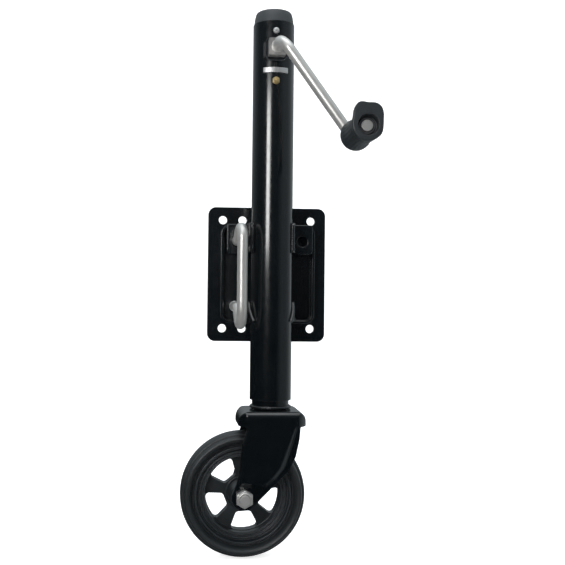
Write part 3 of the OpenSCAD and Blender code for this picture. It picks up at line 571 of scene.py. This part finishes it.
def make_rim():
    """Moulded wheel: a dished front with raised rings and a lip, a web with five openings, and a long hub."""
    low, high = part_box("wheel_rim")
    r, hub = (high.x - low.x) / 2 / MM, (high.y - low.y) / 2 / MM
    # front and rear of the section, in mm: distance from the axle, and distance from the middle plane
    front = [(10, hub), (15, hub), (16, hub - 1), (18.4, 2.6), (20.4, 0), (44.4, 0), (45.6, 1), (46, 8),
             (46.5, 10.2), (47.9, 10.2), (48.7, 8.4), (50.6, 8.4), (51.4, 10.4), (52.8, 10.4), (53.8, 8.2),
             (55.3, 8.4), (56.2, 13.4), (57.0, 14.6), (58.7, 14.5), (59.5, 12.4), (r, 12.0)]
    rear = [(r, -12), (58.6, -14.2), (57.2, -14.6), (56.2, -14), (55.4, -13), (19, -13), (16, 1 - hub),
            (15, -hub), (10, -hub)]
    outline = rounded([(a, b, 0) for a, b in front + rear], 0.5, 3, closed=True)
    turned = lathe([(p.x * MM, p.y * MM) for p in outline], 180, closed=True)
    place = to_front(AXLE.x, AXLE.y, AXLE.z)
    rim = add_piece("moulded_wheel_rim", moved(turned, place), "wheel", "rim_plastic", "wheel_rim")

    # an opening is a sector whose corners, in mm from the axle, are rounded by this radius
    corners = [(40.5 * math.cos(a), 40.5 * math.sin(a)) for a in np.radians(np.linspace(-16.2, 16.2, 7))]
    corners += [(26.8, 5.9), (26.8, -5.9)]
    soft = 4.5
    cloud = [Vector((x + soft * math.cos(a), y + soft * math.sin(a))) * MM
             for x, y in corners for a in np.linspace(0, 2 * math.pi, 32, endpoint=False)]
    edge = [cloud[i] for i in geometry.convex_hull_2d(cloud)]
    count = len(edge)
    prism = ([(p.x, p.y, h) for h in (-0.02, 0.02) for p in edge],
             [tuple(reversed(range(count))), tuple(range(count, 2 * count))]
             + [(k, (k + 1) % count, count + (k + 1) % count, count + k) for k in range(count)])
    openings, first = 5, -86
    for i in range(openings):
        turn = Matrix.Rotation(math.radians(first - 360 / openings * i), 4, "Z")
        cut_out(rim, moved(prism, place @ turn))
    rim.modifiers.clear()
    round_edges(rim, 0.9 * MM, 40, 0.05)


def make_crank_arm():
    """One bent stainless rod from the block to the grip's end."""
    low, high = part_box("crank_arm")
    across = Vector((GRIP.x - CRANK.x, 0, GRIP.z - CRANK.z))
    reach = across.length
    across.normalize()
    slope = math.radians(3)
    stem, bend_out, bend_in, radius = 16.4 * MM, 20 * MM, 14 * MM, 6.35 * MM
    start = Vector((CRANK.x, high.y, CRANK.z))
    first = high.y - stem - bend_out * (math.cos(slope) - (1 - math.sin(slope)) * math.tan(slope))
    second = first - reach * math.tan(slope)
    corners = [start, Vector((CRANK.x, first, CRANK.z)),
               Vector((CRANK.x, second, CRANK.z)) + across * reach,
               Vector((CRANK.x, low.y, CRANK.z)) + across * reach]
    route = bent(corners, [bend_out, bend_in], 16)
    weld = [start + Vector((math.cos(a), 0, math.sin(a))) * (radius + 0.4 * MM) + Vector((0, -0.3 * MM, 0))
            for a in np.linspace(0, 2 * math.pi, 41)]
    shape = joined(rod(route, radius, 48, 0.7 * MM), bead(weld, 1.1 * MM, 3))
    add_piece("bent_crank_arm", shape, "crank", "stainless", "crank_arm")


def make_pull_handle():
    """Bow of stainless rod. Its two legs are the lock pins."""
    low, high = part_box("pull_handle")
    lock = -middle("pin_clip").x
    radius = -low.x - lock
    run = low.y + radius
    # upper half in mm, from the leg to the middle of the run: x, distance behind the run, height
    half = [(-41.15, 32.0, 41.3), (-41.1, 29.5, 42.2), (-40.9, 26.5, 44.4), (-40.5, 23.0, 48.2),
            (-40.1, 19.6, 51.8), (-39.7, 16.4, 54.0), (-39.4, 13.0, 54.7), (-39.1, 9.4, 54.2),
            (-38.8, 5.8, 52.4), (-38.6, 2.8, 49.4), (-38.5, 0.8, 45.6), (-38.5, 0.0, 41.0),
            (-38.5, 0.0, 20.0), (-38.5, 0.0, 0.0)]
    upper = [Vector((x * MM, run + y * MM, z * MM)) for x, y, z in half]
    # the lower half is its mirror image, with a deeper bow
    lower = [Vector((p.x, p.y, -p.z - 0.55 * max(0.0, p.z - lock))) for p in upper[-2::-1]]
    steps = 8
    straight = high.y - upper[0].y - 4 * MM
    legs = [[Vector((-lock, high.y - k * straight / steps, side * lock)) for k in range(steps + 1)]
            for side in (1, -1)]
    route = legs[0] + smooth_route(upper + lower, 4) + legs[1][::-1]
    add_piece("bow_pull_handle", rod(route, radius, 40, 1.6 * MM), "pull_pin", "stainless", "pull_handle")


def smooth_route(points, steps):
    """A smooth curve through the points."""
    made = []
    for i in range(len(points) - 1):
        p0, p3 = points[max(i - 1, 0)], points[min(i + 2, len(points) - 1)]
        p1, p2 = points[i], points[i + 1]
        for k in range(steps):
            t = k / steps
            made.append(0.5 * (2 * p1 + (p2 - p0) * t + (2 * p0 - 5 * p1 + 4 * p2 - p3) * t * t
                               + (3 * p1 - p0 - 3 * p2 + p3) * t ** 3))
    return made + [points[-1]]


def make_pin_spring():
    """Round wire coiled round the upper leg."""
    low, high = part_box("pin_spring")
    wire, turns = 0.75 * MM, 6
    x, z = (low.x + high.x) / 2, (low.z + high.z) / 2
    radius = (high.x - low.x) / 2 - wire
    y0, y1 = low.y + wire, high.y - wire
    route, steps = [], turns * 32
    for k in range(steps + 1):
        share = k / steps
        a = 2 * math.pi * turns * share
        route.append((x + radius * math.cos(a), y0 + (y1 - y0) * share, z + radius * math.sin(a)))
    spring = add_piece("coiled_pin_spring", rod(route, wire, 12, 0.2 * MM), None, "zinc_steel", "pin_spring")
    return spring, y0, y1


def make_grip():
    """Moulded grip: a waisted barrel with shallow flutes, and a flared end with a flat thumb rest."""
    low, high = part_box("crank_grip")
    near, far = low.y, high.y
    length = far - near
    barrel, bore, recess, depth = 17.75 * MM, 6.45 * MM, 11.3 * MM, 11.2 * MM
    # outline of the flared end: degrees from +X, and radius in mm
    rim = [(-105, 17.7), (-63, 17.2), (-35, 17.2), (-2, 16.2), (20, 17.4), (39, 20.8), (54, 23.8), (69, 24.7),
           (91, 23.7), (112, 26.0), (124, 24.4), (149, 19.0), (172, 17.7), (215, 17.5)]
    flutes, flute_depth, flutes_start, flutes_end, fade = 24, 0.4 * MM, 16, 66, 5
    count = 144

    def flared(angle):
        """The flared end's radius at an angle: a smooth closed curve through the outline."""
        turn = (math.degrees(angle) - rim[0][0]) % 360 + rim[0][0]
        knots = [(t - 360, r) for t, r in rim[-1:]] + rim + [(t + 360, r) for t, r in rim[:2]]
        i = max(k for k in range(1, len(rim) + 1) if knots[k][0] <= turn)
        (before, r_before), (t0, r0), (t1, r1), (after, r_after) = knots[i - 1:i + 3]
        m0, m1 = (r1 - r_before) / (t1 - before), (r_after - r0) / (after - t0)
        s, w = (turn - t0) / (t1 - t0), t1 - t0
        return ((2 * s ** 3 - 3 * s * s + 1) * r0 + (s ** 3 - 2 * s * s + s) * w * m0
                + (3 * s * s - 2 * s ** 3) * r1 + (s ** 3 - s * s) * w * m1) * MM

    # stations from the near face to the far end, in mm: distance, waist, share of the flare, inset
    body = [(0.0, 0.0, 1.0, 1.5), (0.35, 0.0, 1.0, 0.7), (1.0, 0.0, 1.0, 0.15), (1.8, 0.0, 1.0, 0.0),
            (5.0, 0.0, 1.0, 0.0), (7.6, 0.0, 1.0, 0.1), (9.2, 0.0, 0.94, 0.5), (11.0, -0.3, 0.72, 0.5),
            (14.0, -0.6, 0.34, 0.3), (18.0, -0.8, 0.10, 0.1), (22.0, -1.0, 0.0, 0.0), (30.0, -1.5, 0.0, 0.0),
            (40.0, -1.9, 0.0, 0.0), (50.0, -1.9, 0.0, 0.0), (58.0, -1.2, 0.0, 0.0), (64.0, -0.3, 0.0, 0.0),
            (67.0, 0.0, 0.0, 0.0), (70.5, 0.0, 0.0, 0.0), (71.8, 0.0, 0.0, 0.2), (72.6, 0.0, 0.0, 0.8),
            (73.0, 0.0, 0.0, 1.8)]
    scale = length / (body[-1][0] * MM)
    verts = []
    for along, waist, share, inset in body:
        grooved = min(1.0, max(0.0, (along - flutes_start) / fade))
        grooved *= min(1.0, max(0.0, (flutes_end - along) / fade))
        for k in range(count):
            a = 2 * math.pi * k / count
            flute = flute_depth * grooved * max(0.0, math.cos(flutes * a)) ** 2
            r = (barrel + waist * MM - flute) * (1 - share) + flared(a) * share - inset * MM
            verts.append((GRIP.x + r * math.cos(a), near + along * MM * scale, GRIP.z + r * math.sin(a)))
    bore_rings = [(bore + 0.5 * MM, length), (bore, length - 0.5 * MM), (bore, depth),
                  (recess - 0.5 * MM, depth), (recess, depth - 0.5 * MM), (recess, 0.8 * MM),
                  (recess + 0.25 * MM, 0.25 * MM), (recess + 0.8 * MM, 0.0)]
    for r, along in bore_rings:
        for k in range(count):
            a = 2 * math.pi * k / count
            verts.append((GRIP.x + r * math.cos(a), near + along, GRIP.z + r * math.sin(a)))
    shape = verts, row_faces(len(body) + len(bore_rings), count)
    add_piece("moulded_crank_grip", shape, "grip", "grip_plastic", "crank_grip")


def make_axle_nut():
    """Locknut with coned corners and a rounded collar over its nylon ring."""
    place = to_front(AXLE.x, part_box("axle_nut")[1].y, AXLE.z)
    nut = moved(hexagon(19.05 * MM, 8.6 * MM, 6.35 * MM), place)
    collar = [(6.6, 8.2), (6.6, 10.9), (7.2, 11.2), (7.9, 11.2), (8.6, 10.6), (8.8, 9.8), (8.8, 8.2)]
    ring = rounded([(r * MM, h * MM) for r, h in collar], 0.4 * MM, 3, closed=True)
    collar = moved(lathe([tuple(p) for p in ring], 64, closed=True), place)
    add_piece("axle_locknut", joined(nut, collar), "fork", "stainless", "axle_nut")


def make_cap_screw():
    """Pan head with a cross recess."""
    centre = middle("cap_screw")
    place = to_front(centre.x, TUBE_Y - TUBE_R + 0.15 * MM, centre.z)
    head = [(0.0, 2.7), (1.0, 2.68), (2.2, 2.45), (3.1, 1.9), (3.65, 1.2), (3.9, 0.4), (3.9, 0.0), (1.6, 0.0),
            (1.6, -5.6), (0.0, -6.0)]
    shape = moved(lathe([(r * MM, h * MM) for r, h in head], 72), place)
    screw = add_piece("pan_head_screw", shape, "jack", "zinc_steel", "cap_screw")
    # each arm of the cross, in mm: height, and half its length there
    thin = 0.62
    arm = [(sx * wide * MM, sy * thin * MM, h * MM)
           for h, wide in ((1.35, 0.9), (3.2, 2.3)) for sx, sy in ((-1, -1), (1, -1), (1, 1), (-1, 1))]
    sides = [(3, 2, 1, 0), (4, 5, 6, 7), (0, 1, 5, 4), (1, 2, 6, 5), (2, 3, 7, 6), (3, 0, 4, 7)]
    for turn in (20, 110):
        cut_out(screw, moved((arm, sides), place @ Matrix.Rotation(math.radians(turn), 4, "Z")))


def cut_out(piece, shape):
    """Takes a closed shape away from a piece for good."""
    cutter = bare_object("cutter", shape)
    cut = piece.modifiers.new("cut", "BOOLEAN")
    cut.operation, cut.solver, cut.object = "DIFFERENCE", "EXACT", cutter
    others = [modifier for modifier in piece.modifiers if modifier != cut]
    for modifier in others:
        modifier.show_viewport = False
    bpy.context.view_layer.update()
    graph = bpy.context.evaluated_depsgraph_get()
    result = bpy.data.meshes.new_from_object(piece.evaluated_get(graph))
    for modifier in others:
        modifier.show_viewport = True
    piece.modifiers.remove(cut)
    result.name = piece.data.name
    piece.data = result
    bpy.data.objects.remove(cutter)


def make_grease_fitting():
    """Hexagonal body, a waist and the ball that takes the gun's nozzle."""
    centre = middle("grease_fitting")
    place = to_front(centre.x, TUBE_Y - TUBE_R + 0.2 * MM, centre.z)
    body = hexagon(8.2 * MM, 3.8 * MM, 1.2 * MM)
    stem = [(0.0, 10.0), (0.7, 10.0), (0.75, 9.5), (0.8, 8.9), (1.2, 9.6), (1.9, 9.5), (2.6, 8.9),
            (3.15, 7.6), (3.1, 6.6), (2.3, 5.4), (2.1, 4.8), (2.7, 4.0), (3.2, 3.7), (3.2, 2.0),
            (2.6, 0.0), (2.9, -2.0), (0, -2.0)]
    outline = [tuple(p) for p in rounded([(r * MM, h * MM) for r, h in stem], 0.3 * MM, 3)]
    shape = moved(joined(body, lathe(outline, 64)), place)
    add_piece("brass_grease_fitting", shape, "jack", "brass", "grease_fitting")


# ---------- welds ----------

def make_welds():
    """Painted weld beads on the tube at the guide, the saddle and the boss, and at the foot of the leg."""
    r = TUBE_R
    guide_low, guide_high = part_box("pin_guide")
    saddle_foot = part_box("lower_saddle")[0].z
    jack = []
    for side in (-1, 1):
        a = math.radians(-90 + side * 66)
        x, y = (r + 1.2 * MM) * math.cos(a), TUBE_Y + (r + 1.2 * MM) * math.sin(a)
        jack.append(bead([(x, y, guide_low.z + 1 * MM), (x, y, guide_high.z - 1 * MM)], 2.4 * MM, 11 + side))
    for side in (-1, 1):
        seam = around(r + 0.9 * MM, 90 + side * 40, 90 + side * 86, saddle_foot)
        jack.append(bead(seam, 1.8 * MM, 21 + side))
    half, height = size("shaft_boss").x / 2, size("shaft_boss").z / 2
    z0 = middle("shaft_boss").z
    for side in (-1, 1):
        x = side * (half + 0.4 * MM)
        y = TUBE_Y - math.sqrt(r * r - x * x) - 0.2 * MM
        jack.append(bead([(x, y, z0 - height + 5 * MM), (x, y, z0 + height - 5 * MM)], 1.3 * MM, 31 + side))
    add_piece("body_weld_beads", joined(*jack), "jack", "black_paint")
    leg = size("inner_tube").x / 2
    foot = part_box("inner_tube")[0].z
    collar = around(leg + 0.9 * MM, 0, 360, foot + 1.4 * MM, steps=96)
    add_piece("leg_foot_weld", bead(collar, 2.1 * MM, 5, 2.8 * MM), "leg", "gloss_black")


# ---------- stage ----------

def make_stage():
    """A pale floor that curves up into a backdrop, and a pale surround that only the camera sees."""
    reach, near, back, bend, top = 6.0, -4.0, 2.6, 0.8, 4.5
    profile = [(near, GROUND)]
    profile += [(back - bend + bend * math.sin(a), GROUND + bend - bend * math.cos(a))
                for a in np.linspace(0, math.pi / 2, 16)]
    profile.append((back, top))
    verts = [(x, y, z) for y, z in profile for x in (-reach, reach)]
    faces = [(2 * i, 2 * i + 1, 2 * i + 3, 2 * i + 2) for i in range(len(profile) - 1)]
    floor = bare_object("floor", (verts, faces))
    shade = bpy.data.materials.new("floor")
    shade.use_nodes = True
    shader = shade.node_tree.nodes["Principled BSDF"]
    shader.inputs["Base Color"].default_value = (0.86, 0.86, 0.86, 1)
    shader.inputs["Roughness"].default_value = 0.9
    shader.inputs["Emission Color"].default_value = (1, 1, 1, 1)
    shader.inputs["Emission Strength"].default_value = 0.72
    floor.data.materials.append(shade)
    floor.visible_glossy = False
    floor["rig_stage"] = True

    bowl = [(0, GROUND - 0.01), (5.2, GROUND - 0.01), (5.8, GROUND + 0.2), (6.2, GROUND + 0.9), (6.3, 7.0)]
    surround = bare_object("surround", lathe(bowl))
    pale = bpy.data.materials.new("surround")
    g = Graph(pale)
    glow = g.node("ShaderNodeEmission", Strength=1.0)
    out = g.node("ShaderNodeOutputMaterial")
    g.tree.links.new(glow.outputs[0], out.inputs["Surface"])
    surround.data.materials.append(pale)
    surround.visible_diffuse = surround.visible_glossy = surround.visible_shadow = False
    surround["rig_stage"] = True


def add_light(name, place, aim, width, height, power):
    data = bpy.data.lights.new(name, "AREA")
    data.shape, data.size, data.size_y, data.energy = "RECTANGLE", width, height, power
    lamp = bpy.data.objects.new(name, data)
    lamp.location = place
    lamp.rotation_mode = "QUATERNION"
    lamp.rotation_quaternion = (Vector(aim) - Vector(place)).to_track_quat("-Z", "Y")
    bpy.context.scene.collection.objects.link(lamp)
    return lamp


def make_lights():
    """A softbox at the left, for the streaks down the tube and the rods, and a wide light overhead."""
    add_light("strip_softbox", (-0.62, TUBE_Y - 1.03, 0.30), (0, TUBE_Y, 0.30), 0.36, 0.40, 7)
    add_light("overhead", (-0.1, -0.5, 1.6), (0, 0, 0), 1.4, 1.4, 9)


def make_world():
    """Studio surroundings: dark in front and below, grey to the right, lighter behind and above."""
    world = bpy.data.worlds.new("studio")
    bpy.context.scene.world = world
    g = Graph(world)
    toward = g.node("ShaderNodeSeparateXYZ")
    g.put(toward.inputs[0], g.node("ShaderNodeTexCoord").outputs["Generated"])
    x, y, z = toward.outputs
    right = g.spread(x, 0.45, 0.80, 0.0, 0.24)
    behind = g.spread(y, 0.0, 0.8, 0.0, 0.30)
    risen = g.spread(z, -0.04, 0.25, 0.0, 1.0)
    above = g.spread(z, 0.45, 0.95, 0.0, 0.9)
    level = g.math("MULTIPLY", risen, 0.10)
    back_right = g.math("MULTIPLY", behind, g.math("MAXIMUM", risen, g.spread(x, -0.1, 0.3)))
    total = g.math("ADD", g.math("ADD", right, back_right), g.math("ADD", level, above))
    total = g.math("ADD", total, 0.012)
    sky = g.node("ShaderNodeBackground", Strength=total)
    sky.inputs["Color"].default_value = (0.86, 0.955, 1.0, 1.0)
    out = g.node("ShaderNodeOutputWorld")
    g.tree.links.new(sky.outputs[0], out.inputs["Surface"])


def make_camera():
    """From the front, a little to the left of the tube and turned a little to the right."""
    sensor, focal_px, width_px = 36.0, 860, 565
    data = bpy.data.cameras.new("camera")
    data.sensor_width = sensor
    data.lens = sensor * focal_px / width_px
    data.shift_x = 0.0991
    data.clip_start, data.clip_end = 0.05, 20
    camera = bpy.data.objects.new("camera", data)
    camera.location = (-0.12917, -1.11133, -0.03093)
    yaw, pitch, roll = math.radians(4.0), math.radians(-1.0393), math.radians(0.6274)
    ahead = Vector((math.sin(yaw) * math.cos(pitch), math.cos(yaw) * math.cos(pitch), -math.sin(pitch)))
    right = Vector((math.cos(yaw), -math.sin(yaw), 0))
    up = right.cross(ahead)
    turned_right = right * math.cos(roll) + up * math.sin(roll)
    turned_up = up * math.cos(roll) - right * math.sin(roll)
    camera.matrix_world = Matrix.Translation(camera.location) @ Matrix(
        (turned_right, turned_up, -ahead)).transposed().to_4x4()
    bpy.context.scene.collection.objects.link(camera)
    bpy.context.scene.camera = camera


# ---------- build ----------

make_camera()
make_stage()
make_lights()
make_world()
bpy.context.scene.view_settings.view_transform = "Standard"

make_top_cap()
make_tyre()
make_rim()
make_crank_arm()
make_pull_handle()
make_grip()
make_axle_nut()
make_cap_screw()
make_grease_fitting()
spring, spring_start, spring_end = make_pin_spring()
softened("caster_fork", "pressed_caster_fork", "gloss_black", 0.9 * MM, 5)
softened("pin_guide", "pressed_pin_guide", "black_paint", 0.8 * MM, 3)
softened("lower_saddle", "pressed_lower_saddle", "black_paint", 0.8 * MM, 3)
make_welds()

# How far the edges of the CAD nodes that stay are rounded, in mm
EDGES = {
    "mounting_plate": 1.0, "swivel_bracket": 1.3, "outer_tube": 0.35, "shaft_boss": 1.4,
    "crank_block": 0.8, "support_plate": 0.5, "inner_tube": 0.4,
    "axle_bolt": 0.4, "pivot_nut": 0.5, "pivot_pin": 0.5, "pivot_washer": 0.3,
    "pivot_lock_washer": 0.3, "rear_bush": 0.3, "front_bush": 0.2, "crank_shaft": 0.3,
    "shaft_clip": 0.15, "guide_key": 0.4, "swivel_washer": 0.3, "kingpin": 0.4,
    "kingpin_nut": 0.5, "kingpin_washer": 0.3, "axle_washers": 0.3, "hub_bushes": 0.3,
    "grip_washer": 0.15, "pin_clip": 0.2, "block_pin": 0.3,
}
for node, width in EDGES.items():
    refine(node, width * MM)

slots = {row["node"]: row["material_slot"] for row in frame["record"]["subparts"]}
# the swivel washer, in the gap between the leg and the crown, takes dark steel in place of its bronze slot
slots.update(crank_block="block_steel", swivel_washer="dark_steel")
for node, piece in nodes.items():
    paint(piece, slots[node])
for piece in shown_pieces():
    if "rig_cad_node" not in piece and not piece.data.materials:
        paint(piece, piece["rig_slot"])

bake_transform(spring)
